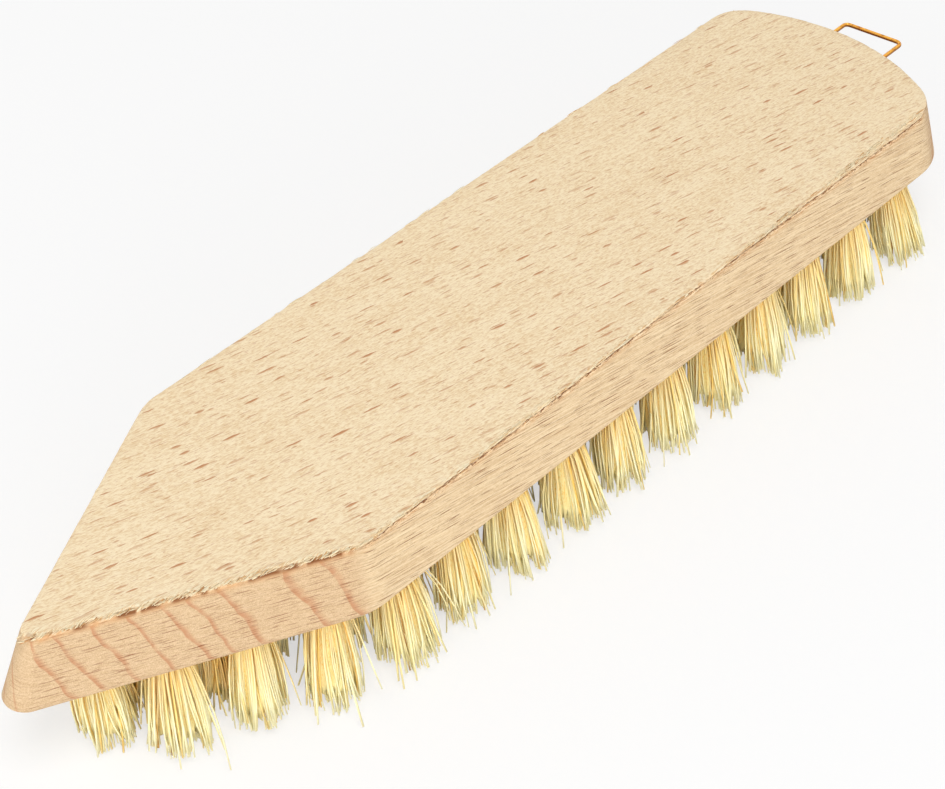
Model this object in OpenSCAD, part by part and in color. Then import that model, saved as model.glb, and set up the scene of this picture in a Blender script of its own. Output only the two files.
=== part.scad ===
// Scrub brush: a pointed beech block, set with tufts of plant fibre, with a wire loop to hang it by.
// The brush stands on the tips of its fibres at z = 0. The nose points along +X, the loop along -X.
// The origin is under the middle of the overall length, loop included.

/* [Block] */
// Length of the block, from the tip of the nose to the middle of the bowed end
block_l = 239.5; // [180:0.5:300]
// Width of the block at its underside
block_w = 60; // [56:0.5:70]
// Thickness of the block
block_h = 14; // [13:0.5:20]
// How far each side leans in between the underside and the top
side_inset = 3.3; // [1:0.1:3.5]
// Angle between each bevel of the nose and the centre line
nose_angle = 26.4; // [24:0.2:32]
// Radius of the tip of the nose, at the underside
nose_r = 4; // [4:0.1:6]
// Radius where a bevel of the nose turns into the long side
shoulder_r = 15; // [8:0.5:20]
// Depth of the bow across the back end
end_bow = 10.7; // [6:0.1:13]
// Radius of the two back corners, at the underside
end_corner_r = 13; // [8:0.5:16]
// Rounding of the lower edge
low_edge_r = 1.2; // [0.6:0.1:2]
// Rounding of the upper edge
top_edge_r = 0.3; // [0.1:0.05:0.4]

/* [Tuft layout] */
// Spacing of the tufts along a row
tuft_pitch = 15.05; // [14:0.05:18]
// Distance from the edge of the underside to the tufts along it
edge_margin = 6.3; // [5:0.1:7]
// Distance from the nose's tip to the first tuft of the centre row
first_tuft = 28.4; // [26:0.1:32]
// Distance from the nose's tip to the single tuft in the nose
nose_tuft = 18; // [15:0.1:20]
// Spacing of the tufts along a bevel
bevel_pitch = 13.9; // [11:0.1:16]
// Distance along a bevel from the last tuft to the line of the edge row
bevel_last = 5.4; // [4:0.1:8]
// How far inside a bevel an inner tuft has to lie
bevel_clear = 10; // [9.5:0.1:11]
// Distance from the bowed end that stays free of tufts
end_clear = 15; // [14:0.5:25]

/* [Tufts] */
// Diameter of a tuft's hole in the block
hole_d = 5; // [4:0.1:5.6]
// Depth of a tuft's hole
hole_depth = 8.5; // [7:0.1:8.8]
// Gap between a tuft's root and its hole
tuft_play = 0.1; // [0.05:0.05:0.2]
// Length of the fibres below the block
trim_l = 20; // [16:0.5:32]
// Radius of a tuft's fan at its tips
fan_r = 4.1; // [2.5:0.1:4.3]
// Outward lean of the tufts in the edge rows
edge_lean = 12; // [4:1:16]
// Outward lean of the rows beside the edge rows
middle_lean = 3; // [0:1:5]
// Backward lean of the tufts at the back end
end_lean = 8; // [0:1:12]
// Sideways lean of the single tuft in the nose
nose_lean = 8; // [0:1:12]
// Thickness of a strand where it leaves the root
strand_d = 1.4; // [0.8:0.1:1.5]
// Thickness of a strand at its tip
tip_d = 1.1; // [0.6:0.1:1.2]
// How much shorter than the longest fibres the shortest are cut
trim_spread = 2; // [0.5:0.1:3]
// How far a strand reaches up into the root
strand_seat = 0.4; // [0.2:0.1:1]

/* [Anchors] */
// Length of the flat wire anchor across the bottom of a hole
anchor_l = 6.4; // [6:0.1:7]
// Thickness of the anchor
anchor_t = 0.4; // [0.3:0.05:0.6]
// Height of the anchor
anchor_h = 1.5; // [1:0.1:2]
// Layer of folded fibre between the anchor and the bottom of the hole
fold_h = 0.8; // [0.5:0.1:1.2]
// Gap round an anchor in its groove
anchor_play = 0.05; // [0.05:0.05:0.1]

/* [Hanging loop] */
// Diameter of the loop's wire
wire_d = 0.9; // [0.8:0.1:1.2]
// Distance between the centre lines of the two legs
loop_w = 13.4; // [11:0.1:16]
// Distance from the back end to the bar's centre line, midway along the bar
loop_reach = 5.8; // [5:0.1:16]
// Angle by which the bar runs out of square
loop_skew = 8; // [0:1:12]
// Radius of each bend, at the wire's centre line
loop_bend_r = 1.2; // [0.9:0.1:2.5]
// Height of the loop above the block's underside
loop_z = 10.3; // [10:0.1:11]
// Depth of a leg inside the block, measured from the bowed end
leg_depth = 13; // [10:0.5:20]
// Gap between a leg and its hole
leg_play = 0.05; // [0.03:0.01:0.1]

/* [Hidden] */
$fn = 48;

half_w = block_w / 2;
// How much farther out one corner of the loop lies than the middle of the bar
bar_drop = loop_w / 2 * tan(loop_skew);
// What the bend at that corner takes off its reach
corner_loss = loop_bend_r * (tan(45 + loop_skew / 2) - 1);
overall_l = block_l + loop_reach + bar_drop - corner_loss + wire_d / 2;
nose_x = overall_l / 2;
end_x = nose_x - block_l;
block_z = trim_l;

// The outline is made of arcs that share tangents, so an inset only shortens their radii
bevel_normal = 90 - nose_angle;
nose_c = [nose_x - nose_r, 0];
shoulder_y = half_w - shoulder_r;
shoulder_x = nose_c.x + (nose_r - shoulder_r - shoulder_y * sin(bevel_normal)) / cos(bevel_normal);
shoulder_c = [shoulder_x, shoulder_y];
bow_r = (half_w * half_w + end_bow * end_bow) / (2 * end_bow);
bow_c = [end_x + bow_r, 0];
corner_turn = asin((half_w - end_corner_r) / (bow_r - end_corner_r));
corner_c = [bow_c.x - (bow_r - end_corner_r) * cos(corner_turn), half_w - end_corner_r];
nose_steps = 14;
shoulder_steps = 8;
corner_steps = 14;
bow_steps = 24;
edge_steps = 4;
bend_steps = 8;
wire_sides = 16;

function arc(c, r, from, to, steps) =
    [for (i = [0:steps]) c + r * [cos(from + (to - from) * i / steps), sin(from + (to - from) * i / steps)]];

// The same arc without its two end points
function open_arc(c, r, from, to, steps) =
    let (p = arc(c, r, from, to, steps)) [for (i = [1:steps - 1]) p[i]];

function flip(p) = [p.x, -p.y];

// The underside's outline, drawn in by the inset, anticlockwise from the lower end of the nose's arc
function outline(inset) = concat(
    arc(nose_c, nose_r - inset, -bevel_normal, bevel_normal, nose_steps),
    arc(shoulder_c, shoulder_r - inset, bevel_normal, 90, shoulder_steps),
    arc(corner_c, end_corner_r - inset, 90, 180 - corner_turn, corner_steps),
    open_arc(bow_c, bow_r - inset, 180 - corner_turn, 180 + corner_turn, bow_steps),
    arc(flip(corner_c), end_corner_r - inset, 180 + corner_turn, 270, corner_steps),
    arc(flip(shoulder_c), shoulder_r - inset, 270, 360 - bevel_normal, shoulder_steps)
);

// The sides lean in above the rounding of the lower edge
function lean_in(z) = side_inset * max(0, z - low_edge_r) / (block_h - low_edge_r);

// Height above the underside and inset of each ring of the block, lower edge first
edge_rings = concat(
    [for (i = [0:edge_steps]) let (a = 90 * i / edge_steps, z = low_edge_r * (1 - cos(a)))
        [z, lean_in(z) + low_edge_r * (1 - sin(a))]],
    [for (i = [0:edge_steps]) let (a = 90 * i / edge_steps, z = block_h - top_edge_r * (1 - sin(a)))
        [z, lean_in(z) + top_edge_r * (1 - cos(a))]]
);

// Closed solid through rings of equal point counts, all anticlockwise and stacked upwards
module loft(rings) {
    n = len(rings[0]);
    top = len(rings) - 1;
    polyhedron(
        points = [for (ring = rings) for (p = ring) p],
        faces = concat(
            [[for (i = [0:n - 1]) i]],
            [for (k = [0:top - 1]) for (i = [0:n - 1]) each [
                [k * n + i, (k + 1) * n + i, (k + 1) * n + (i + 1) % n],
                [k * n + i, (k + 1) * n + (i + 1) % n, k * n + (i + 1) % n]]],
            [[for (i = [n - 1:-1:0]) top * n + i]]
        )
    );
}

// Rows run along the block: number 0 on the centre line, 3 along each edge, with columns across them.
// Columns of even number carry rows 0 and 2, the odd ones rows 1 and 3, so the tufts are staggered.
column_gap = tuft_pitch / 2;
row_gap = (half_w - edge_margin) / 3;
last_column = floor((block_l - first_tuft - end_clear) / column_gap);
nose_point = [nose_x - nose_tuft, 0];

// Distance of a point inside the bevel on its own side
function inside_bevel(p) = nose_r - (p.x - nose_c.x) * cos(bevel_normal) - abs(p.y) * sin(bevel_normal);

// How far a tuft's tips move with its lean
function lean_run(angle) = trim_l * tan(angle);

// The last tufts of each row lean back
function end_shift(i) = i > last_column - 2 ? -lean_run(end_lean) : 0;

function row_lean(row) = row == 3 ? edge_lean : row == 2 ? middle_lean : 0;

// A tuft is its place, the shift of its tips, and a number that sets its small differences
function row_tufts(row) = [for (i = [row % 2:2:last_column])
    let (p = [nose_x - first_tuft - i * column_gap, row * row_gap])
    if (inside_bevel(p) >= bevel_clear) [p, [end_shift(i), lean_run(row_lean(row))], row * 100 + i]];

// The bevel tufts continue the edge row towards the nose, counted from where the two lines meet
edge_y = 3 * row_gap;
bevel_end = [nose_c.x + (nose_r - edge_margin - edge_y * sin(bevel_normal)) / cos(bevel_normal), edge_y];
bevel_way = [cos(nose_angle), -sin(nose_angle)];
bevel_most = ceil(bevel_end.y / sin(nose_angle) / bevel_pitch);
bevel_tufts = [for (i = [0:bevel_most])
    let (p = bevel_end + bevel_way * (bevel_last + i * bevel_pitch))
    if (p.y > 0 && norm(p - nose_point) > bevel_clear)
        [p, lean_run(edge_lean) * [cos(bevel_normal), sin(bevel_normal)], 400 + i]];

function mirrored(tufts) = [for (t = tufts) [flip(t[0]), flip(t[1]), t[2]]];

centre_tufts = concat([[nose_point, [0, lean_run(nose_lean)], 500]], row_tufts(0));
inner_tufts = row_tufts(1);
middle_tufts = row_tufts(2);
edge_tufts = concat(bevel_tufts, row_tufts(3));
all_tufts = concat(centre_tufts, inner_tufts, mirrored(inner_tufts), middle_tufts, mirrored(middle_tufts),
    edge_tufts, mirrored(edge_tufts));

// Even spread of numbers from 0 to 1, the same each time
function chance(n) = let (v = sin(n * 73.1) * 43.7) v - floor(v);

root_r = hole_d / 2 - tuft_play;
strand_sides = 3;
// Strands in a tuft besides the one in its middle
strands_round = 4;
// Fibre of the root that shows round its outermost strands
root_rim = 0.15;
strand_ring_r = root_r - root_rim - strand_d / 2;
// Share of the fan's spread that a strand has reached halfway down
half_spread = 0.62;
// Share of the fan's radius that the least spread strand reaches
least_spread = 0.85;
// Most that a strand's bearing differs from even spacing, in degrees
bearing_play = 12;

// Level cross-section of a strand, with one corner on its bearing
function section(c, r, turn, z) = [for (i = [0:strand_sides - 1])
    let (a = turn + 360 * i / strand_sides)
    [c.x + r * cos(a), c.y + r * sin(a), z]];

// One strand: it starts inside the root at one radius, fans out to another and ends in a level cut
module strand(tuft, bearing, start_r, end_r, tip_z) {
    way = [cos(bearing), sin(bearing)];
    start = tuft[0] + way * start_r;
    shift = tuft[1] + way * (end_r - start_r);
    loft([
        section(start + shift, tip_d / 2, bearing, tip_z),
        section(start + shift * half_spread, (strand_d + tip_d) / 4, bearing, trim_l / 2),
        section(start, strand_d / 2, bearing, trim_l + strand_seat)
    ]);
}

// The root is the folded bundle that fills the hole, with the anchor's slot through its fold
module tuft(t) {
    seed = t[2];
    difference() {
        translate([t[0].x, t[0].y, block_z]) cylinder(r = root_r, h = hole_depth - tuft_play);
        anchor_slot(t[0], anchor_l, block_z + hole_depth - fold_h - anchor_h - anchor_play,
            anchor_h + 2 * anchor_play);
    }
    strand(t, 0, 0, 0, 0);
    for (i = [0:strands_round - 1]) {
        even = 360 * (i + chance(seed)) / strands_round;
        bearing = even + bearing_play * (2 * chance(seed + 17 * i + 2) - 1);
        spread = fan_r * (least_spread + (1 - least_spread) * chance(seed + 13 * i + 5));
        // Every fourth strand or so is as long as the one in the middle
        short = max(0, chance(seed + 29 * i + 11) - 0.25);
        strand(t, bearing, strand_ring_r, spread, trim_spread * short);
    }
}

// Slot for an anchor: wider by the play on each side, and as long as asked for
module anchor_slot(p, length, low, height) {
    wide = anchor_t + 2 * anchor_play;
    translate([p.x - length / 2, p.y - wide / 2, low]) cube([length, wide, height]);
}

module tuft_row(tufts) {
    color([0.93, 0.86, 0.6]) for (t = tufts) tuft(t);
}

// What is drawn for the left side, at +Y, put on the right side
module other_side() {
    mirror([0, 1, 0]) children();
}

// A blind hole, with the groove that the anchor's ends cut down its wall
module tuft_hole(p) {
    // The cutters start this far below the block's underside
    below = 1;
    translate([p.x, p.y, block_z - below]) cylinder(d = hole_d, h = hole_depth + below);
    anchor_slot(p, anchor_l + 2 * anchor_play, block_z - below,
        below + hole_depth - fold_h + anchor_play);
}

module leg_hole(side) {
    // The cutter starts this far outside the bowed end
    outside = 2;
    translate([end_x - outside, side * loop_w / 2, block_z + loop_z]) rotate([0, 90, 0])
        cylinder(d = wire_d + 2 * leg_play, h = leg_depth + outside + leg_play);
}

module beech_block() {
    color([0.91, 0.8, 0.63]) difference() {
        translate([0, 0, block_z])
            loft([for (e = edge_rings) [for (p = outline(e[1])) [p.x, p.y, e[0]]]]);
        for (t = all_tufts) tuft_hole(t[0]);
        for (side = [-1, 1]) leg_hole(side);
    }
}

module tuft_anchors() {
    color([0.72, 0.72, 0.7]) for (t = all_tufts)
        translate([t[0].x - anchor_l / 2, t[0].y - anchor_t / 2, block_z + hole_depth - fold_h - anchor_h])
            cube([anchor_l, anchor_t, anchor_h]);
}

// Points of the wire's centre line, seen from above: out along the leg at +Y, across on the skewed
// bar, and back along the leg at -Y
function loop_path() = let (
    leg_y = loop_w / 2,
    long_x = end_x - loop_reach - bar_drop,
    short_x = end_x - loop_reach + bar_drop,
    long_c = [long_x + loop_bend_r * tan(45 + loop_skew / 2), leg_y - loop_bend_r],
    short_c = [short_x + loop_bend_r * tan(45 - loop_skew / 2), loop_bend_r - leg_y]
) concat(
    [[end_x + leg_depth, leg_y]],
    arc(long_c, loop_bend_r, 90, 180 + loop_skew, bend_steps),
    arc(short_c, loop_bend_r, 180 + loop_skew, 270, bend_steps),
    [[end_x + leg_depth, -leg_y]]
);

// Ring of the wire round one point of its centre line, square to the mean of the runs beside it
function wire_ring(path, i) = let (
    last = len(path) - 1,
    before = i > 0 ? path[i] - path[i - 1] : path[1] - path[0],
    after = i < last ? path[i + 1] - path[i] : before,
    way = before / norm(before) + after / norm(after),
    side = [-way.y, way.x] / norm(way)
) [for (k = [0:wire_sides - 1]) let (a = -360 * k / wire_sides, out = wire_d / 2 * cos(a))
    [path[i].x + side.x * out, path[i].y + side.y * out, wire_d / 2 * sin(a)]];

module hanging_loop() {
    path = loop_path();
    color([0.8, 0.5, 0.32]) translate([0, 0, block_z + loop_z])
        loft([for (i = [0:len(path) - 1]) wire_ring(path, i)]);
}

beech_block();
tuft_row(centre_tufts);  // centre_row
tuft_row(inner_tufts);  // inner_row_left
other_side() tuft_row(inner_tufts);  // inner_row_right
tuft_row(middle_tufts);  // middle_row_left
other_side() tuft_row(middle_tufts);  // middle_row_right
tuft_row(edge_tufts);  // edge_row_left
other_side() tuft_row(edge_tufts);  // edge_row_right
tuft_anchors();
hanging_loop();
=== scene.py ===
import bpy
import math
import numpy as np
from mathutils import Matrix, Vector
from mathutils.geometry import delaunay_2d_cdt


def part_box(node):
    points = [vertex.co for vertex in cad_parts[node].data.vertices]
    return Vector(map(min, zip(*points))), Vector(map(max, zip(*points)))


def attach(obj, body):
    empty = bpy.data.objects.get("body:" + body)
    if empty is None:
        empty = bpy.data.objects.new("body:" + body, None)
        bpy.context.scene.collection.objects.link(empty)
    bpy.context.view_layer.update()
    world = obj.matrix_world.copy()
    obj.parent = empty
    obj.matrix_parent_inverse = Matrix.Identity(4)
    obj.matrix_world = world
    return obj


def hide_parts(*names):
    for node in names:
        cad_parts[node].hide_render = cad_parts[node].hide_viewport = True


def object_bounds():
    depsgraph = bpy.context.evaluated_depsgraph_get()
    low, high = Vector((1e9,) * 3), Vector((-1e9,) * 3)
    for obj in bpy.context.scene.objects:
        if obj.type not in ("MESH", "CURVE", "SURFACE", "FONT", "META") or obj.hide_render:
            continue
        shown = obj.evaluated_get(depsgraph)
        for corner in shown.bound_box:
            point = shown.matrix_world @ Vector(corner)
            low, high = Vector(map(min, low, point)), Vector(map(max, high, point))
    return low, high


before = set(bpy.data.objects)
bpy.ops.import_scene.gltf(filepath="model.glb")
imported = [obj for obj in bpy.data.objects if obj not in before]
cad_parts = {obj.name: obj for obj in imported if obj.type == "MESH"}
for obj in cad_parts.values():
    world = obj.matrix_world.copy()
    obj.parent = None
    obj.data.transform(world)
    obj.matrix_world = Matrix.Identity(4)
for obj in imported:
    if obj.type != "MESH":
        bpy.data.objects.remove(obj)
cadLow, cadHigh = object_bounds()
mm = 0.001
print("frame loaded")

# heights of the block, in mm
blockLow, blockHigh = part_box("beech_block")
underside = blockLow.z / mm
topSide = blockHigh.z / mm
thickness = (blockHigh.z - blockLow.z) / mm

anyTurn = 6.28  # a random start may lie anywhere round
white = (1, 1, 1, 1)
black = (0, 0, 0, 1)


# a colour from 0 to 255, for a shader socket
def tint(red, green, blue):
    def toLinear(c):
        c = c / 255
        return c / 12.92 if c <= 0.04045 else ((c + 0.055) / 1.055) ** 2.4
    return (toLinear(red), toLinear(green), toLinear(blue), 1)


def smoothStep(x, low, high):
    t = np.clip((x - low) / (high - low), 0, 1)
    return t * t * (3 - 2 * t)


# 1 on the spot, fading out within about twice the reach
def bell(away, reach):
    return np.exp(-(away / reach) ** 2)


# unit vectors at these angles, one to a row
def circle(angles):
    return np.stack([np.cos(angles), np.sin(angles)], 1)


# a smooth random line from 0 to 1 along a closed run, with a new value every step
def wander(run, length, step, seed):
    count = max(4, int(round(length / step)))
    values = np.random.default_rng(seed).random(count)
    place = run / length * count
    left = np.floor(place).astype(int)
    part = smoothStep(place - left, 0, 1)
    return values[left % count] * (1 - part) + values[(left + 1) % count] * part


def addToScene(name, data):
    added = bpy.data.objects.new(name, data)
    bpy.context.scene.collection.objects.link(added)
    return added


def makeObject(name, points, faces, smooth=True):
    mesh = bpy.data.meshes.new(name)
    mesh.from_pydata([tuple(p) for p in points], [], [tuple(f) for f in faces])
    mesh.validate()
    mesh.update()
    if smooth:
        mesh.shade_smooth()
    return addToScene(name, mesh)


# a value at each point of a piece, for its material to read
def storeValues(piece, name, values):
    layer = piece.data.attributes.new(name, "FLOAT", "POINT")
    layer.data.foreach_set("value", values.astype(np.float32))


def dress(piece, material):
    piece.data.materials.clear()
    piece.data.materials.append(material)


# short ways to make the nodes of a new material or sky
class Shader:
    def __init__(self, owner):
        owner.use_nodes = True
        self.owner = owner
        self.tree = owner.node_tree
        self.gloss = self.tree.nodes.get("Principled BSDF")

    # puts plain values in a node's inputs, or links them to other nodes
    def fill(self, node, inputs):
        for key, value in inputs.items():
            if isinstance(value, bpy.types.NodeSocket):
                self.tree.links.new(value, node.inputs[key])
            else:
                node.inputs[key].default_value = value

    def node(self, kind, inputs=None, **settings):
        made = self.tree.nodes.new("ShaderNode" + kind)
        for key, value in settings.items():
            setattr(made, key, value)
        self.fill(made, inputs or {})
        return made

    def maths(self, operation, a, b=0.0, clamp=False):
        return self.node("Math", {0: a, 1: b}, operation=operation, use_clamp=clamp).outputs[0]

    def times(self, a, *others):
        for b in others:
            a = self.maths("MULTIPLY", a, b)
        return a

    def plus(self, a, *others):
        for b in others:
            a = self.maths("ADD", a, b)
        return a

    def minus(self, a, b):
        return self.maths("SUBTRACT", a, b)

    def larger(self, a, b):
        return self.maths("MAXIMUM", a, b)

    def size(self, a):
        return self.maths("ABSOLUTE", a)

    def ease(self, value, fromLow, fromHigh, toLow=0.0, toHigh=1.0, curve="SMOOTHSTEP"):
        inputs = dict(enumerate((value, fromLow, fromHigh, toLow, toHigh)))
        return self.node("MapRange", inputs, interpolation_type=curve).outputs[0]

    # 1 up to the first value, 0 from the second on
    def fade(self, value, start, end):
        return self.ease(value, start, end, 1.0, 0.0)

    def mix(self, share, under, over, blend="MIX"):
        inputs = {0: share, 6: under, 7: over}
        return self.node("Mix", inputs, data_type="RGBA", blend_type=blend).outputs[2]

    # a colour by where the share lies among the stops
    def ramp(self, share, stops):
        made = self.node("ValToRGB", {0: share})
        elements = made.color_ramp.elements
        for k, (spot, colour) in enumerate(stops):
            stop = elements[k] if k < 2 else elements.new(spot)
            stop.position = spot
            stop.color = colour
        return made.outputs[0]

    # a vector in mm from one in metres
    def inMm(self, vector):
        return self.node("VectorMath", {0: vector, "Scale": 1 / mm}, operation="SCALE").outputs[0]

    def parted(self, vector):
        return self.node("SeparateXYZ", {0: vector}).outputs

    def joined(self, x, y, z):
        return self.node("CombineXYZ", {0: x, 1: y, 2: z}).outputs[0]

    def stretch(self, vector, sizes, offset=(0, 0, 0), turn=0.0):
        return self.node("Mapping", {
            "Vector": vector,
            "Location": offset,
            "Rotation": (0, 0, turn),
            "Scale": [1 / s for s in sizes],
        }).outputs[0]

    # cloudy noise with spots of about these sizes
    def noise(self, vector, sizes, detail, rough, offset=(0, 0, 0), kind="Fac"):
        place = self.stretch(vector, sizes, offset)
        inputs = {"Vector": place, "Scale": 1, "Detail": detail, "Roughness": rough}
        return self.node("TexNoise", inputs).outputs[kind]

    def attribute(self, name):
        return self.node("Attribute", attribute_name=name).outputs["Fac"]

    # spindle marks, one to a cell of that length and width in mm, of which a share shows:
    # how strongly each spot is marked, and how near it lies to the mark's lower edge, where flecks
    # take painted shade
    def marks(self, vector, cell, halfLong, halfWide, share, offset, soft):
        cellLong, cellWide = cell
        flutter = (0, 0.2, 0)  # how far noise moves a mark's outline
        small = self.stretch(vector, (cellLong, cellWide, 1), offset)
        shake = self.noise(vector, (cellLong * 0.3, cellWide * 0.9, 1), 2, 0.6, kind="Color")
        inputs = {0: shake, 1: flutter, 2: small}
        moved = self.node("VectorMath", inputs, operation="MULTIPLY_ADD").outputs[0]
        cells = self.node("TexVoronoi", {"Vector": moved, "Scale": 1}, voronoi_dimensions="2D")
        inputs = {0: moved, 1: cells.outputs["Position"]}
        away = self.node("VectorMath", inputs, operation="SUBTRACT").outputs[0]
        awayLong, awayWide, _ = self.parted(away)
        chance = self.node("SeparateColor", {0: cells.outputs["Color"]})
        pick, long, wide = chance.outputs[:3]
        reach = self.ease(long, 0.0, 1.0, halfLong[0] / cellLong, halfLong[1] / cellLong)
        width = self.ease(wide, 0.0, 1.0, halfWide[0] / cellWide, halfWide[1] / cellWide)
        along = self.maths("DIVIDE", awayLong, reach)
        across = self.maths("DIVIDE", awayWide, width)
        far = self.plus(self.size(across), self.times(along, along))
        shown = self.times(self.fade(far, soft, 1.0), self.maths("LESS_THAN", pick, share))
        weight = self.ease(pick, 0.0, share, 1.0, 0.4)
        return self.times(shown, weight), self.fade(across, -0.7, 0.35)

    def finish(self, tone, rough, shine=0.5, metallic=0.0):
        self.fill(self.gloss, {
            "Base Color": tone,
            "Roughness": rough,
            "Specular IOR Level": shine,
            "Metallic": metallic,
        })

    def bump(self, height, strength, distance):
        inputs = {"Height": height, "Strength": strength, "Distance": distance}
        self.fill(self.gloss, {"Normal": self.node("Bump", inputs).outputs[0]})


# the block's wood
beech = dict(
    topColour=tint(252, 233, 197),
    topShade=tint(232, 201, 156),
    topBlend=(0.34, 0.6),  # the levels of the grain between which shade turns to colour
    # the walls are darker than the top: partly the wood's own tone on its edge and end grain,
    # partly painted shade that holds back the low lamps on them
    sideColour=tint(234, 211, 173),
    sideShade=tint(202, 169, 126),
    sideBlend=(0.3, 0.66),
    cutColour=tint(218, 191, 154),
    cutShade=tint(187, 153, 113),
    cutBlend=(0.32, 0.66),
    cutFrom=(0.12, 0.4),  # how far a face turns across the grain before it shows as cut
    # flecks: their own colour, and a darker one along their lower edge, which is painted shade
    fleckColour=tint(212, 158, 114),
    fleckShadeEdge=tint(170, 104, 62),
    dashColour=tint(132, 76, 40),
    cutDash=tint(138, 84, 52),
    ringColour=tint(190, 138, 100),
    # painted shade: the dark colour in the crack and the crease under the torn edge, and the
    # orange-brown band below them
    creaseShadeColour=tint(132, 80, 42),
    underShadeColour=tint(206, 150, 96),
    featherColour=tint(253, 241, 208),
    featherShade=tint(226, 184, 130),
    grainTurn=math.radians(11.5),
    grainBend=0.00094,
    grainBendFrom=40,
    sideRise=0.154,
    # growth rings: their tilt, places to the left of the middle and widths in mm
    ringTilt=math.radians(-24.2),
    ringPlaces=(0.8, 2.7, 5.1, 7.7, 10.2, 11.9, 14.1, 18.5, 21.2, 23.8, 26.6, 29.4),
    ringWidths=(0.5, 0.45, 0.5, 0.4, 0.45, 0.4, 0.7, 0.8, 0.7, 0.6, 0.45, 0.5),
    ringShift=1.1,
    ringSharp=0.12,
    ringSway=0.3,
    ringStrength=(0.45, 0.95),
    # cloudy patterns: sizes in mm along, across and through the grain, detail, roughness, start
    mottle=((22, 7, 7), 3, 0.6),
    streak=((9, 0.55, 0.55), 3, 0.65),
    micro=((0.9, 0.24, 0.24), 3, 0.6),
    crumb=((0.17, 0.17, 0.17), 2, 0.6),
    sideStreak=((18, 0.26, 1), 3, 0.65),
    ringWave=((14, 7, 7), 2, 0.5),
    ringPatches=((2.5, 2.5, 1.6), 2, 0.6),
    combed=((2.0, 0.13, 0.3), 2, 0.6),
    splinters=((1.5, 0.15, 1), 3, 0.7),
    stripes=((3.2, 0.13, 1), 2, 0.6, (5, 3, 0)),
    breaks=((4.5, 0.6, 1), 2, 0.6, (2, 7, 0)),
    # dark marks: strength, the cell for one, half its length and width, share, start, softness
    marks=dict(
        dashes=(1.0, (9, 0.56), (1.4, 4.4), (0.045, 0.09), 0.88, (0.3, 0.7, 0), 0.6),
        fine=(0.6, (5, 0.34), (0.6, 2.4), (0.03, 0.06), 0.8, (5.3, 1.7, 0), 0.6),
        lines=(1.0, (6.5, 0.5), (1.0, 3.2), (0.035, 0.075), 0.9, (2.3, 4.7, 0), 0.6),
        nicks=(0.6, (3.4, 0.32), (0.5, 1.6), (0.025, 0.055), 0.85, (8.3, 3.1, 0), 0.6),
        flecks=(1.0, (8.0, 1.9), (1.3, 2.7), (0.2, 0.38), 0.5, (3.1, 0.2, 0), 0.35),
        lesser=(0.7, (6.0, 1.2), (0.8, 2.2), (0.12, 0.24), 0.5, (1.7, 5.2, 0), 0.35),
        ticks=(0.55, (2.4, 0.5), (0.3, 0.95), (0.06, 0.12), 0.65, (7.7, 2.9, 0), 0.35),
        dust=(0.36, (1.0, 0.36), (0.1, 0.34), (0.04, 0.09), 0.6, (4.2, 8.8, 0), 0.35),
    ),
    crackRagged=0.3,
    hairLineDown=0.42,
    chipStrength=0.6,
    crackStrength=0.95,
    roughness=(0.8, 0.66),
    shine=0.3,
    bumpStrength=0.6,
    bumpHeight=0.14 * mm,
)


# bands on the faces cut across the grain: sharp on one side, fading on the other
def growthRings(s, place):
    b = beech
    inputs = {"Vector": place, "Center": (0, 0, topSide), "Angle": b["ringTilt"]}
    tilted = s.node("VectorRotate", inputs, rotation_type="X_AXIS")
    across = s.parted(tilted.outputs[0])[1]
    sway = s.ease(s.noise(place, *b["ringWave"]), 0.2, 0.8, -b["ringSway"], b["ringSway"])
    across = s.plus(across, sway)
    leftRings = list(zip(b["ringPlaces"], b["ringWidths"]))
    rightRings = [(-spot - b["ringShift"], width) for spot, width in leftRings[1:]]
    rings = 0.0
    for spot, width in leftRings + rightRings:
        rise = s.ease(across, spot - b["ringSharp"], spot)
        rings = s.larger(rings, s.times(rise, s.fade(across, spot, spot + width)))
    patchy = s.ease(s.noise(place, *b["ringPatches"]), 0.3, 0.6, *b["ringStrength"])
    return s.times(rings, patchy)


# dark marks of one kind
def woodMarks(s, vector, name):
    strength, *settings = beech["marks"][name]
    shown, low = s.marks(vector, *settings)
    return s.times(shown, strength), low


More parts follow.
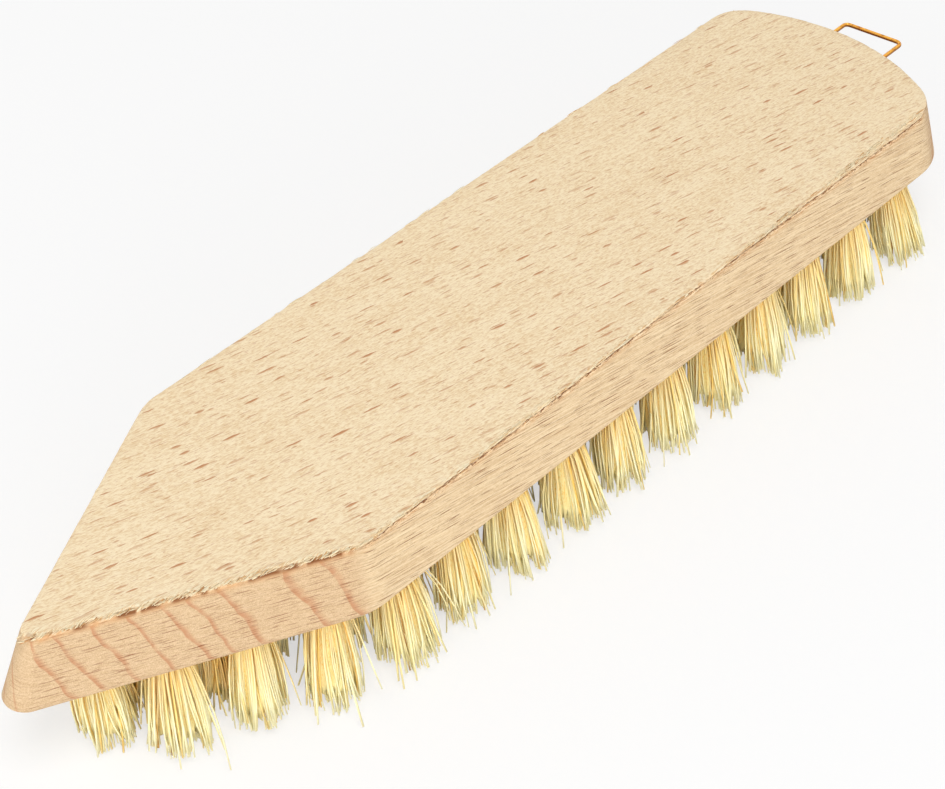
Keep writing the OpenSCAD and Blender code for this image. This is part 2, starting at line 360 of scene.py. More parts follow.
def beechMaterial():
    b = beech
    s = Shader(bpy.data.materials.new("beechWood"))
    # the grain runs askew over the top and bends away towards the nose
    place = s.inMm(s.node("TexCoord").outputs["Object"])
    along, across, deep = s.parted(s.stretch(place, (1, 1, 1), turn=b["grainTurn"]))
    ahead = s.larger(s.minus(along, b["grainBendFrom"]), 0.0)
    bend = s.times(ahead, ahead, b["grainBend"])
    grain = s.joined(along, s.plus(across, bend), deep)
    # it rises a little along the sides
    around = s.inMm(s.node("UVMap", uv_map="sideRun").outputs[0])
    runAlong, runUp, runFlat = s.parted(around)
    side = s.joined(runAlong, s.plus(runUp, s.times(runAlong, b["sideRise"])), runFlat)

    facing = s.parted(s.node("NewGeometry").outputs["Normal"])[2]
    flat = s.plus(s.ease(facing, 0.45, 0.8), s.fade(facing, -0.8, -0.45))
    crossCut = s.attribute("crossCut")
    cut = s.ease(crossCut, *b["cutFrom"])

    mottle = s.noise(grain, *b["mottle"])
    streak = s.noise(grain, *b["streak"])
    micro = s.noise(grain, *b["micro"])
    crumb = s.noise(place, *b["crumb"])
    sideStreak = s.noise(side, *b["sideStreak"])
    shade = s.plus(s.times(mottle, 0.13), s.times(streak, 0.22), s.times(micro, 0.65))
    topTone = s.mix(s.ease(shade, *b["topBlend"]), b["topShade"], b["topColour"])
    sideGrain = s.plus(s.times(sideStreak, 0.7), s.times(micro, 0.3))
    sideTone = s.mix(s.ease(sideGrain, *b["sideBlend"]), b["sideShade"], b["sideColour"])
    cutGrain = s.plus(s.times(micro, 0.25), s.times(crumb, 0.5))
    cutGrain = s.plus(s.times(sideStreak, 0.25), cutGrain)
    cutTone = s.mix(s.ease(cutGrain, *b["cutBlend"]), b["cutShade"], b["cutColour"])
    cutTone = s.mix(growthRings(s, place), cutTone, b["ringColour"])
    tone = s.mix(cut, sideTone, cutTone)

    # dashes on the sides, fainter round the nose, and flecks on the flat faces
    sideMarks = s.larger(woodMarks(s, side, "dashes")[0], woodMarks(s, side, "fine")[0])
    sideMarks = s.times(sideMarks, s.minus(1.0, cut))
    cutMarks = s.larger(woodMarks(s, around, "lines")[0], woodMarks(s, around, "nicks")[0])
    cutMarks = s.times(cutMarks, s.ease(crossCut, 0.5, 0.7, 1.0, 0.3), cut)
    tone = s.mix(sideMarks, tone, b["dashColour"])
    tone = s.mix(cutMarks, tone, b["cutDash"])
    topMarks = {}
    # flecks darker along their lower edge: painted shade, as on a scoop lit from above
    for name in ("dust", "ticks", "lesser", "flecks"):
        topMarks[name], low = woodMarks(s, grain, name)
        colour = s.mix(low, b["fleckColour"], b["fleckShadeEdge"])
        topTone = s.mix(topMarks[name], topTone, colour)
    tone = s.mix(flat, tone, topTone)
    tone = s.mix(1.0, tone, s.mix(s.ease(crumb, 0.3, 0.7, 0.965, 1.03), black, white), "MULTIPLY")

    # torn, combed wood beside the upper edges
    feather = s.attribute("feather")
    combed = s.noise(place, *b["combed"])
    featherTone = s.mix(s.ease(combed, 0.4, 0.56), b["featherShade"], b["featherColour"])
    tone = s.mix(feather, tone, featherTone)
    # painted shade down the wall under the torn edge
    tone = s.mix(s.attribute("stain"), tone, b["underShadeColour"])

    # the crack under the long edges, with chips above it, dark lines that are partly its own
    # colour and partly painted shade, and a band of painted shade below
    cracked = s.attribute("crackOn")
    splinters = s.noise(around, *b["splinters"])
    ragged = s.ease(splinters, 0.25, 0.75, -b["crackRagged"], b["crackRagged"])
    gap = s.plus(s.attribute("crackGap"), ragged)
    stripes = s.noise(around, *b["stripes"])
    broken = s.ease(s.noise(around, *b["breaks"]), 0.34, 0.52, 0.4, 1.0)
    deepLine = s.times(s.fade(s.size(gap), 0.06, 0.18), broken)
    hairLine = s.fade(s.size(s.plus(gap, b["hairLineDown"])), 0.02, 0.09)
    hairLine = s.times(hairLine, s.ease(stripes, 0.48, 0.6))
    # painted shade in a band below the crack
    below = s.times(s.ease(gap, -1.3, -0.1), s.fade(gap, -0.05, 0.05), cracked)
    chips = s.times(s.ease(gap, 0.05, 0.2), s.fade(gap, 0.5, 1.3), cracked)
    tone = s.mix(s.times(below, s.ease(stripes, 0.35, 0.62, 0.08, 0.6)), tone, b["underShadeColour"])
    chipTone = s.mix(s.ease(stripes, 0.44, 0.56), b["featherShade"], b["featherColour"])
    tone = s.mix(s.times(chips, b["chipStrength"]), tone, chipTone)
    # the crack's dark lines: partly its own dark colour, partly painted shade in the hollow under
    # its lip
    dark = s.times(s.larger(deepLine, hairLine), cracked, b["crackStrength"])
    tone = s.mix(dark, tone, b["creaseShadeColour"])
    # painted shade in the crease under the torn edge
    tone = s.mix(s.attribute("crease"), tone, b["creaseShadeColour"])
    s.finish(tone, s.ease(shade, 0.4, 0.6, *b["roughness"]), b["shine"])

    sunken = s.larger(topMarks["flecks"], topMarks["lesser"])
    sunken = s.mix(flat, s.larger(sideMarks, cutMarks), sunken)
    height = s.plus(s.times(streak, 0.4), s.times(micro, 0.6), s.times(combed, feather, 2.5))
    height = s.minus(height, s.times(sunken, 0.6))
    height = s.minus(height, s.times(deepLine, cracked, 1.5))
    height = s.plus(height, s.times(chips, s.times(stripes, 2.0)))
    s.bump(height, b["bumpStrength"], b["bumpHeight"])
    return s.owner


# the block, in mm
blockShape = dict(
    noseAngle=26.4,
    noseRadius=4.0,
    noseBlunt=0.42,  # how fast the nose's radius shrinks with the inset, down to the least
    noseLeast=0.3,
    shoulderRadius=15.0,
    endBow=10.7,
    cornerRadius=13.0,
    sideInset=3.3,
    lowEdge=1.2,
    topEdge=0.3,
    holeRadius=2.5,
    holeDepth=8.5,
    holeSides=28,
    holeLip=0.6,
    step=0.4,  # from point to point along the outline
    # rings of points: insets on the underside, heights up the walls, insets on the top
    lowRings=(2.4, 1.7),
    wallRings=(2.0, 10.6, 0.8),
    closeRings=(10.8, 0.17),
    topRings=(0.15, 0.3, 0.5, 0.75, 1.05, 1.4, 1.9, 2.6, 3.6),
    sharpEdge=math.radians(48),
)
bevelTurn = (0.2, 0.42)  # a wall counts as bevel where its direction along the brush is over these


# points of the block's outline in mm, drawn in from the underside's by the inset, and their
# outward directions; every inset gives as many points
def walkOutline(inset=0.0):
    p = blockShape
    step = p["step"]
    noseR = p["noseRadius"]
    shoulderR = p["shoulderRadius"]
    cornerR = p["cornerRadius"]
    halfWide = blockHigh.y / mm
    slope = math.radians(90 - p["noseAngle"])
    shoulderY = halfWide - shoulderR
    nose = np.array([blockHigh.x / mm - noseR, 0])
    shoulderX = nose[0] + (noseR - shoulderR - shoulderY * math.sin(slope)) / math.cos(slope)
    shoulder = np.array([shoulderX, shoulderY])
    innerR = max(noseR - inset * p["noseBlunt"], p["noseLeast"])
    slide = (inset - noseR + innerR) / math.cos(slope)
    innerNose = nose - np.array([max(0.0, slide), 0])
    bowR = (halfWide ** 2 + p["endBow"] ** 2) / (2 * p["endBow"])
    bow = np.array([blockLow.x / mm + bowR, 0])
    turn = math.asin((halfWide - cornerR) / (bowR - cornerR))
    corner = np.array([bow[0] - (bowR - cornerR) * math.cos(turn), halfWide - cornerR])
    flip = np.array([1, -1])
    quarter = math.pi / 2
    # centre, radius at this inset, radius at no inset, first and last angle
    arcs = [
        (innerNose, innerR, noseR, -slope, slope),
        (shoulder, shoulderR - inset, shoulderR, slope, quarter),
        (corner, cornerR - inset, cornerR, quarter, math.pi - turn),
        (bow, bowR - inset, bowR, math.pi - turn, math.pi + turn),
        (corner * flip, cornerR - inset, cornerR, math.pi + turn, quarter * 3),
        (shoulder * flip, shoulderR - inset, shoulderR, quarter * 3, math.pi * 2 - slope),
    ]
    spots = []
    ways = []
    for centre, radius, full, start, end in arcs:
        count = int(math.ceil(full * (end - start) / step)) + 1
        way = circle(np.linspace(start, end, count))
        spots.append(centre + radius * way)
        ways.append(way)
    # straight runs after the arcs; the arcs of the bowed end touch and share a point
    bevelCount = int(math.hypot(*(shoulder - nose)) / step)
    sideCount = int((shoulderX - corner[0]) / step)
    runs = [(bevelCount, 0), (sideCount, 0), (0, 0), (0, 1), (sideCount, 1), (bevelCount, 0)]
    points = []
    outs = []
    for k, (count, shared) in enumerate(runs):
        points.append(spots[k][shared:])
        outs.append(ways[k][shared:])
        if count:
            share = (np.arange(1, count) / count)[:, None]
            after = spots[(k + 1) % len(spots)][0]
            points.append(spots[k][-1] + (after - spots[k][-1]) * share)
            outs.append(np.repeat(ways[k][-1:], count - 1, 0))
    return np.concatenate(points), np.concatenate(outs)


# the full outline: points, outward directions, the run up to each point and the whole length
def measureOutline():
    points, ways = walkOutline()
    steps = np.linalg.norm(np.roll(points, -1, 0) - points, axis=1)
    run = np.concatenate([[0], np.cumsum(steps)[:-1]])
    return points, ways, run, steps.sum()


# height and inset of each ring, from the underside up the walls and over the upper edge
def ringProfile():
    p = blockShape

    def leanIn(z):
        return p["sideInset"] * np.maximum(0, z - p["lowEdge"]) / (thickness - p["lowEdge"])

    rings = [(0.0, inset) for inset in p["lowRings"]]
    for a in np.linspace(0, math.pi / 2, 6):
        z = p["lowEdge"] * (1 - math.cos(a))
        rings.append((z, leanIn(z) + p["lowEdge"] * (1 - math.sin(a))))
    closeFrom, closeStep = p["closeRings"]
    closeHeights = np.arange(closeFrom, thickness - p["topEdge"] - 0.05, closeStep)
    rings += [(z, leanIn(z)) for z in [*np.arange(*p["wallRings"]), *closeHeights]]
    for a in np.linspace(0, math.pi / 2, 5):
        z = thickness - p["topEdge"] * (1 - math.sin(a))
        rings.append((z, leanIn(z) + p["topEdge"] * (1 - math.cos(a))))
    edge = p["sideInset"] + p["topEdge"]
    return rings + [(thickness, edge + inset) for inset in p["topRings"]]


# wear of the upper edge in mm, and the painted shade under it; a pair is what holds everywhere and
# what is added at most
edgeWear = dict(
    # random lines along it: a new value every so many mm, and a seed
    lines=dict(
        coarse=(3.1, 11), medium=(1.1, 12), rough=(0.45, 13), sunken=(9, 14),
        crackRuns=(16, 21), crackBits=(4, 22), crackSway=(23, 23), crackShake=(2.3, 24),
        crackDepth=(5, 25), crackLip=(6.0, 26), crackWidth=(3.3, 27),
    ),
    bite=0.12,
    tornBite=(0.35, 0.45),
    biteReach=(0.5, 0.9),  # down the wall and in over the top
    drop=(0.05, 0.14),
    tornDrop=(0.7, 0.8),
    rearDrop=0.22,
    rearFrom=(20, 100),  # behind the middle
    rim=(0.4, 0.7),
    farShare=0.35,  # how much of the crack the far side has
    crackDown=0.42,
    crackSway=0.3,
    crackShake=0.1,
    crackRough=0.12,
    crackRearDown=0.75,
    crackDepth=(0.3, 0.4),
    crackWidth=(0.16, 0.2),
    crackLip=(-0.12, 0.12),
    lipRough=0.14,
    deepest=3.6,  # below the top
    topReach=0.35,
    # painted shade down the wall under the torn edge: a dark crease band and a wider orange-brown
    # band
    creaseDown=(0.35, 0.4),  # middle and reach down the wall
    stainDown=(0.3, 0.7),
    stain=(0.35, 0.5),
    feather=(0.15, 0.7),
    featherReach=(0.5, 1.1),
)


# the wear, and the painted shade under the torn edge, at each point of the outline
def wearEdge(points, ways, run, length):
    w = edgeWear

    def varied(name, line):
        return w[name][0] + w[name][1] * line

    lines = {name: wander(run, length, *values) for name, values in w["lines"].items()}
    coarse = lines["coarse"]
    medium = lines["medium"]
    rough = lines["rough"]
    facesLeft = (ways[:, 1] > 0.02) * 1.0
    torn = smoothStep(ways[:, 0], *bevelTurn) * facesLeft
    longSides = 1 - smoothStep(np.abs(ways[:, 0]), 0.05, 0.3)
    behind = smoothStep(-points[:, 0], *w["rearFrom"])
    rear = behind * longSides
    rag = 0.45 * coarse ** 2 + 0.35 * medium + 0.35 * rough
    tornBite = w["tornBite"][0] * coarse * medium + w["tornBite"][1] * rough * medium
    drop = varied("drop", rag) * varied("tornDrop", torn)
    crackOn = smoothStep(lines["crackRuns"] * 0.5 + lines["crackBits"] * 0.5, 0.12, 0.42)
    crackOn = crackOn * longSides * (w["farShare"] + (1 - w["farShare"]) * facesLeft)
    crackZ = thickness - w["crackDown"] - w["crackSway"] * lines["crackSway"]
    crackZ = crackZ - w["crackShake"] * lines["crackShake"] - w["crackRough"] * rough
    lip = w["crackLip"][1] * lines["crackLip"] + w["lipRough"] * rough + w["crackLip"][0]
    return dict(
        torn=torn,
        bite=rag * w["bite"] + torn * tornBite,
        drop=drop + w["rearDrop"] * rear * lines["sunken"],
        rim=varied("rim", rear),
        crackOn=crackOn,
        crackZ=crackZ - w["crackRearDown"] * rear * behind,
        crackDeep=crackOn * varied("crackDepth", lines["crackDepth"]),
        crackWide=varied("crackWidth", lines["crackWidth"]),
        lip=lip * crackOn,
        # painted shade under the torn edge
        crease=torn * smoothStep(medium * coarse, 0.08, 0.4),
        stain=torn * varied("stain", medium),
        feather=varied("feather", torn),
        featherReach=varied("featherReach", torn * (0.4 + 0.6 * coarse)),
    )


# fills the flat inside a ring with triangles, leaves round holes open and returns their rims
def fillFlat(verts, faces, first, border, holes, up, spacing):
    p = blockShape
    n = len(border)
    radius = p["holeRadius"]
    clearance = radius + 0.6
    spots = [Vector(v[:2]) for v in border]
    loops = [list(range(n))]
    for centre in holes:
        loops.append(list(range(len(spots), len(spots) + p["holeSides"])))
        for a in np.arange(p["holeSides"]) * 2 * math.pi / p["holeSides"]:
            spots.append(Vector(centre) + radius * Vector((math.cos(a), math.sin(a))))
    edges = [(loop[i - 1], loop[i]) for loop in loops for i in [*range(1, len(loop)), 0]]
    xs, ys = border[:, 0], border[:, 1]
    for x in np.arange(xs.min(), xs.max(), spacing):
        for y in np.arange(ys.min(), ys.max(), spacing):
            near = np.min((xs - x) ** 2 + (ys - y) ** 2)
            clear = all((c[0] - x) ** 2 + (c[1] - y) ** 2 > clearance ** 2 for c in holes)
            if near > (spacing * 0.6) ** 2 and clear:
                spots.append(Vector((x, y)))
    made, _, madeFaces, sources, _, _ = delaunay_2d_cdt(spots, edges, loops[:1], 1, 1e-6)
    order = {}
    for i, v in enumerate(made):
        source = [o for o in sources[i] if o < n]
        if source:
            order[i] = first + source[0]
        else:
            order[i] = len(verts)
            verts.append(np.array([v.x, v.y, border[0, 2]]))
    for face in madeFaces:
        middle = sum((made[i] for i in face), Vector((0, 0))) / len(face)
        if all((middle - Vector(c)).length >= radius * 0.98 for c in holes):
            turned = [order[i] for i in face]
            faces.append(turned if up else turned[::-1])
    rims = []
    for loop in loops[1:]:
        found = [next(k for k, source in enumerate(sources) if i in source) for i in loop]
        rims.append([order[k] for k in found])
    return rims


def drillHoles(verts, faces, rims):
    p = blockShape
    sides = p["holeSides"]
    for rim in rims:
        last = rim
        for deep in (p["holeLip"], p["holeDepth"]):
            ring = list(range(len(verts), len(verts) + sides))
            verts += [np.array([*verts[i][:2], underside + deep]) for i in rim]
            for a in range(sides):
                c = (a + 1) % sides
                faces.append((last[a], last[c], ring[c], ring[a]))
            last = ring
        faces.append(last)


# UVs of the walls: the run round the block and the height
def mapSides(mesh, runs, heights, length):
    corners = np.array([loop.vertex_index for loop in mesh.loops])
    onRing = corners < len(runs)
    uv = np.zeros((len(corners), 2))
    uv[onRing] = np.stack([runs, heights], 1)[corners[onRing]]
    # the last column of faces closes the run
    for face in mesh.polygons:
        u = uv[face.loop_start:face.loop_start + face.loop_total, 0]
        if face.loop_total == 4 and u.max() - u.min() > length / 2:
            u[u < length / 2] += length
    layer = mesh.uv_layers.new(name="sideRun")
    layer.data.foreach_set("uv", (uv * mm).ravel())


def buildBlock(outline, tufts):
    points, ways, run, length = outline
    p = blockShape
    w = edgeWear
    n = len(points)
    rings = ringProfile()
    edge = p["sideInset"] + p["topEdge"]
    wear = wearEdge(points, ways, run, length)
    grid = np.zeros((len(rings), n, 3))
    kinds = ("crease", "feather", "stain", "crackGap")
    painted = {kind: np.zeros((len(rings), n)) for kind in kinds}
    for k, (z, inset) in enumerate(rings):
        heights = np.full(n, z)
        insets = np.full(n, float(inset))
        inward = max(0.0, inset - edge)
        below = max(0.0, thickness - z)
        onWall = inward == 0
        aboveCrack = z - wear["crackZ"]
        if below < w["deepest"]:
            nearTop = bell(below, w["topReach"])
            heights = heights - wear["drop"] * nearTop * bell(inward, wear["rim"])
            reachDown, reachIn = w["biteReach"]
            insets = insets + wear["bite"] * bell(below, reachDown) * bell(inward, reachIn)
            insets = insets + wear["crackDeep"] * bell(aboveCrack, wear["crackWide"]) * onWall
            insets = insets - wear["lip"] * smoothStep(aboveCrack, 0.1, 0.3) * onWall
            # painted shade down the wall under the torn edge
            for name in ("crease", "stain"):
                down, reach = w[name + "Down"]
                painted[name][k] = wear[name] * bell(below - down, reach) * onWall
            feather = bell(inward, wear["featherReach"]) * nearTop * wear["feather"]
            painted["feather"][k] = np.clip(feather, 0, 1)
        painted["crackGap"][k] = aboveCrack + inward
        grid[k, :, :2] = walkOutline(float(inset))[0] - ways * (insets - inset)[:, None]
        grid[k, :, 2] = underside + heights
    verts = list(grid.reshape(-1, 3))
    faces = []
    for k in range(len(rings) - 1):
        for i in range(n):
            j = (i + 1) % n
            faces.append((k * n + i, k * n + j, (k + 1) * n + j, (k + 1) * n + i))
    fillFlat(verts, faces, (len(rings) - 1) * n, grid[-1], [], True, 3.0)
    rims = fillFlat(verts, faces, 0, grid[0], [t[0] for t in tufts], False, 4.0)
    drillHoles(verts, faces, rims)

    block = makeObject("beechBlock", np.array(verts) * mm, faces)
    painted["crackOn"] = np.tile(wear["crackOn"], (len(rings), 1))
    painted["crossCut"] = np.tile(np.abs(ways[:, 0]), (len(rings), 1))
    extra = len(block.data.vertices) - len(rings) * n
    for name, values in painted.items():
        rest = 9.0 if name == "crackGap" else 0.0  # away from the walls
        storeValues(block, name, np.concatenate([values.ravel(), np.full(extra, rest)]))
    mapSides(block.data, np.tile(run, len(rings)), grid[:, :, 2].ravel(), length)
    block.data.set_sharp_from_angle(angle=p["sharpEdge"])
    return block


# where a row's tufts are rooted and how far their tips lean, from the loose parts of its CAD mesh
def tuftPlaces(node):
    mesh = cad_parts[node].data
    co = np.array([v.co for v in mesh.vertices]) / mm
    key = {}
    index = np.array([key.setdefault(tuple(np.round(c, 3)), len(key)) for c in co])
    parent = list(range(len(key)))

    def top(i):
        while parent[i] != i:
            parent[i] = parent[parent[i]]
            i = parent[i]
        return i

    for f in mesh.polygons:
        corners = [index[v] for v in f.vertices]
        for c in corners[1:]:
            parent[top(c)] = top(corners[0])
    groups = {}
    for i, v in enumerate(index):
        groups.setdefault(top(v), []).append(co[i])
    places = []
    for group in groups.values():
        group = np.array(group)
        roots = group[group[:, 2] > underside + 1]
        tips = group[group[:, 2] < underside / 2]
        root = (roots.min(0) + roots.max(0))[:2] / 2
        places.append((root, tips.mean(0)[:2] - root))
    places.sort(key=lambda t: (round(t[0][0], 3), t[0][1]))
    return places


# the tufts, in mm
tuftShape = dict(
    fibres=230,
    crowd=0.38,  # under 0.5, more of them stand at the rim
    rootRadius=2.35,
    rootRise=1.4,  # how far up in the hole they start
    fanRadius=5.8,
    fanBend=0.55,
    fanVary=(0.9, 0.2),
    reachVary=0.08,
    thick=(0.15, 0.29),
    jitter=0.05,
    twist=0.24,
    bow=0.5,
    clumps=8,
    clumpRing=0.95,
    clumpPull=0.55,
    clumpCut=1.5,
    ragged=1.6,
    raggedVary=0.35,
    shortShare=0.1,
    shortBy=1.3,
    rimShort=0.9,
    tips=(0.02, 7),
    spill=1.5,  # how far tips may pass the solids' sides
    stray=0.1,
    strayReach=2.6,
    stations=(0.0, 0.09, 0.24, 0.5, 0.76, 1.0),
    taper=(1, 1, 1, 1, 0.95, 0.8),
    sides=3,
    flutes=34,
    fluteDepth=0.12,
    fluteVary=(0.02, 0.04),
    coreShare=0.72,
    coreEnd=4.0,
    coreRagged=0.8,
    coreHollow=3.0,
    coreStations=(0.0, 0.12, 0.3, 0.5, 0.7, 0.88, 1.0),
    coreCrowd=0.2,
    crowdReach=4.6,
    seed=1000,
)
goldenAngle = 2.399963
fibreTop = underside + tuftShape["rootRise"]


# centre lines of one tuft's fibres, root first, how thick each is and how far inside it stands
def fibreTuft(root, lean, seed):
    t = tuftShape
    rng = np.random.default_rng(seed)
    n = t["fibres"]
    k = np.arange(n) + 0.5
    radius = (k / n) ** t["crowd"]
    unit = circle(k * goldenAngle + rng.random() * anyTurn) * radius[:, None]
    unit += rng.normal(0, t["jitter"], (n, 2))
    twist = rng.normal(0, t["twist"], n)
    turned = np.stack([
        unit[:, 0] * np.cos(twist) - unit[:, 1] * np.sin(twist),
        unit[:, 0] * np.sin(twist) + unit[:, 1] * np.cos(twist)], 1)
    # the tips gather in clumps
    clumpAngle = np.arange(t["clumps"]) * 2.4 + rng.random() * anyTurn
    clumpOut = np.sqrt((np.arange(t["clumps"]) + 0.6) / t["clumps"]) * t["clumpRing"]
    clump = circle(clumpAngle) * clumpOut[:, None]
    nearest = np.argmin(((turned[:, None] - clump[None]) ** 2).sum(2), axis=1)
    turned += (clump[nearest] - turned) * t["clumpPull"] * rng.uniform(0.3, 1.0, (n, 1))
    fan = t["fanRadius"] * (t["fanVary"][0] + t["fanVary"][1] * rng.random())
    end = turned * fan * (1 + rng.normal(0, t["reachVary"], n))[:, None] + lean
    strays = rng.random(n) < t["stray"]
    end[strays] += rng.normal(0, t["strayReach"], (strays.sum(), 2))
    limit = cadHigh.y / mm + t["spill"] - np.abs(root[1])
    if root[1] > 0:
        end[:, 1] = np.minimum(end[:, 1], limit)
    else:
        end[:, 1] = np.maximum(end[:, 1], -limit)
    # and end at different heights
    clumpCut = rng.uniform(0, t["clumpCut"], t["clumps"])[nearest]
    tip = clumpCut + np.abs(rng.normal(0, t["raggedVary"], n)) * t["ragged"]
    tip[rng.random(n) < t["shortShare"]] += t["ragged"] * t["shortBy"]
    tip = np.clip(tip + t["rimShort"] * radius ** 4, *t["tips"])
    start = unit * t["rootRadius"]
    bowWay = rng.normal(0, t["bow"], (n, 2))
    path = np.zeros((n, len(t["stations"]), 3))
    for i, s in enumerate(t["stations"]):
        across = start + (end - start - lean) * s ** t["fanBend"] + lean * s
        path[:, i, :2] = root + (across + bowWay * (4 * s * (1 - s)))
        path[:, i, 2] = fibreTop + (tip - fibreTop) * s
    return path, rng.uniform(*t["thick"], n), 1 - radius


# how closely the other tufts crowd each point of some fibres, for the painted shade between tufts
def crowding(path, root, tufts):
    rise = (path[..., 2] / fibreTop)[..., None]
    total = np.zeros(path.shape[:2])
    for otherRoot, otherLean in tufts:
        if np.linalg.norm(otherRoot - root) > 0.1:
            away = path[..., :2] - otherRoot - otherLean * (1 - rise)
            total += np.exp(-(away ** 2).sum(-1) / tuftShape["crowdReach"] ** 2)
    return total


# the heart of a tuft: a fluted cone inside its fibres, hollow at the lower end
def tuftCore(root, lean, seed):
    t = tuftShape
    rng = np.random.default_rng(seed)
    n = t["flutes"] * 2
    turnVary, depthVary = t["fluteVary"]
    angle = np.arange(n) * 2 * math.pi / n + rng.normal(0, turnVary, n)
    depth = 1 - t["fluteDepth"] * (np.arange(n) % 2) + rng.normal(0, depthVary, n)
    around = circle(angle) * depth[:, None]
    wider = t["fanRadius"] * t["coreShare"] - t["rootRadius"]
    verts = []
    for s in t["coreStations"]:
        share = s * (fibreTop - t["coreEnd"]) / fibreTop
        ring = np.zeros((n, 3))
        ring[:, :2] = root + around * (t["rootRadius"] + wider * s ** t["fanBend"]) + lean * share
        ring[:, 2] = fibreTop * (1 - share)
        verts.append(ring)
    verts[-1][:, 2] += rng.uniform(-t["coreRagged"], t["coreRagged"], n)
    heart = verts[-1].mean(0) + np.array([0, 0, t["coreHollow"]])
    last = (len(verts) - 1) * n
    verts = np.concatenate(verts + [heart[None], verts[0].mean(0)[None]])
    faces = []
    for i in range(n):
        j = (i + 1) % n
        for k in range(0, last, n):
            faces.append([k + j, k + i, k + n + i, k + n + j])
        faces.append([last + j, last + i, last + n])
        faces.append([i, j, last + n + 1])
    return verts, faces


# faces of a closed tube: its sides and its two ends
def tubeFaces(stations, sides):
    last = (stations - 1) * sides
    quads = []
    for i in range(0, last, sides):
        for k in range(sides):
            j = (k + 1) % sides
            quads.append([i + k, i + j, i + sides + j, i + sides + k])
    ends = [list(range(sides))[::-1], [last + k for k in range(sides)]]
    return np.array(quads), np.array(ends)


# closed tubes along paths, each turned at random round its own path
def tubes(paths, thick, sides, taper):
    n, stations, _ = paths.shape
    turn = np.random.default_rng(5).random(n) * anyTurn
    verts = np.zeros((n, stations, sides, 3))
    for k in range(sides):
        a = turn + 2 * math.pi * k / sides
        ring = np.stack([np.cos(a), np.sin(a), np.zeros(n)], 1)
        for i in range(stations):
            verts[:, i, k] = paths[:, i] + ring * (thick * taper[i])[:, None]
    base = np.arange(n)[:, None, None] * stations * sides
    quads, ends = tubeFaces(stations, sides)
    quads = (base + quads[:, [0, 3, 2, 1]]).reshape(-1, 4)  # these paths run downwards
    ends = (base + ends[:, ::-1]).reshape(-1, sides)
    return verts.reshape(-1, 3), quads.tolist() + ends.tolist()


# one row of tufts: their fibres, then their hearts
def buildTufts(name, places, everyTuft, seed):
    t = tuftShape
    made = [fibreTuft(root, lean, seed + k) for k, (root, lean) in enumerate(places)]
    paths, thick, depths = (np.concatenate(part) for part in zip(*made))
    crowds = [crowding(made[k][0], root, everyTuft) for k, (root, _) in enumerate(places)]
    verts, faces = tubes(paths, thick, t["sides"], t["taper"])
    inner = np.repeat(depths, t["sides"] * len(t["taper"]))
    crowd = np.repeat(np.concatenate(crowds).ravel(), t["sides"])
    for k, (root, lean) in enumerate(places):
        coreVerts, coreFaces = tuftCore(root, lean, seed + k)
        faces += [[i + len(verts) for i in face] for face in coreFaces]
        verts = np.concatenate([verts, coreVerts])
        inner = np.concatenate([inner, np.full(len(coreVerts), 1.0)])
        crowd = np.concatenate([crowd, np.full(len(coreVerts), t["coreCrowd"])])
    piece = makeObject(name, verts * mm, faces)
    storeValues(piece, "inner", inner)
    storeValues(piece, "crowd", crowd)
    return piece


fibre = dict(
    pale=tint(255, 250, 208),
    straw=tint(255, 243, 180),
    golden=tint(248, 204, 104),
    heart=tint(255, 238, 170),
    brown=tint(178, 116, 48),
    stops=((0.0, "brown"), (0.02, "golden"), (0.16, "straw"), (0.5, "pale"), (1.0, "pale")),
    # sizes in mm, detail, roughness
    along=((0.6, 0.6, 5.0), 3, 0.6),
    fine=((0.16, 0.16, 6.0), 2, 0.6),
    # painted shade as a golden tint: the most at the block, inside a tuft and between tufts
    goldShadeAtBlock=0.62,
    goldShadeInside=0.6,
    goldShadeBetween=0.8,
    roughness=(0.38, 0.58),
    shine=0.35,
    bumpStrength=0.3,
    bumpHeight=0.03 * mm,
)


def fibreMaterial():
    f = fibre
    s = Shader(bpy.data.materials.new("plantFibre"))
    place = s.inMm(s.node("TexCoord").outputs["Object"])
    height = s.parted(place)[2]
    along = s.noise(place, *f["along"])
    pick = s.node("NewGeometry").outputs["Random Per Island"]
    tone = s.ramp(pick, [(spot, f[name]) for spot, name in f["stops"]])
    tone = s.mix(s.ease(along, 0.4, 0.72, 0.0, 0.6), tone, f["straw"])
    # painted shade: golden towards the block, inside a tuft and where other tufts crowd
    deep = s.ease(height, underside * 0.35, underside, 0.0, f["goldShadeAtBlock"])
    within = s.attribute("inner")
    sunken = s.ease(within, 0.15, 0.6, 0.0, f["goldShadeInside"])
    sunken = s.times(sunken, s.ease(height, 2.0, 9.0, 0.1, 1.0))
    between = s.ease(s.attribute("crowd"), 0.03, 0.32, 0.0, f["goldShadeBetween"])
    between = s.times(between, s.ease(height, 1.0, 8.0, 0.35, 1.0))
    tone = s.mix(s.larger(s.larger(deep, sunken), between), tone, f["golden"])
    # fine streaks on the hearts, paler towards the tips
    heart = s.mix(s.ease(s.noise(place, *f["fine"]), 0.36, 0.52), f["golden"], f["heart"])
    heart = s.mix(s.ease(height, 4.0, 9.0, 0.8, 0.0), heart, f["straw"])
    tone = s.mix(s.ease(within, 0.7, 0.95, 0.0, 0.9), tone, heart)
    s.finish(tone, s.ease(along, 0.3, 0.7, *f["roughness"]), f["shine"])
    s.bump(along, f["bumpStrength"], f["bumpHeight"])
    return s.owner


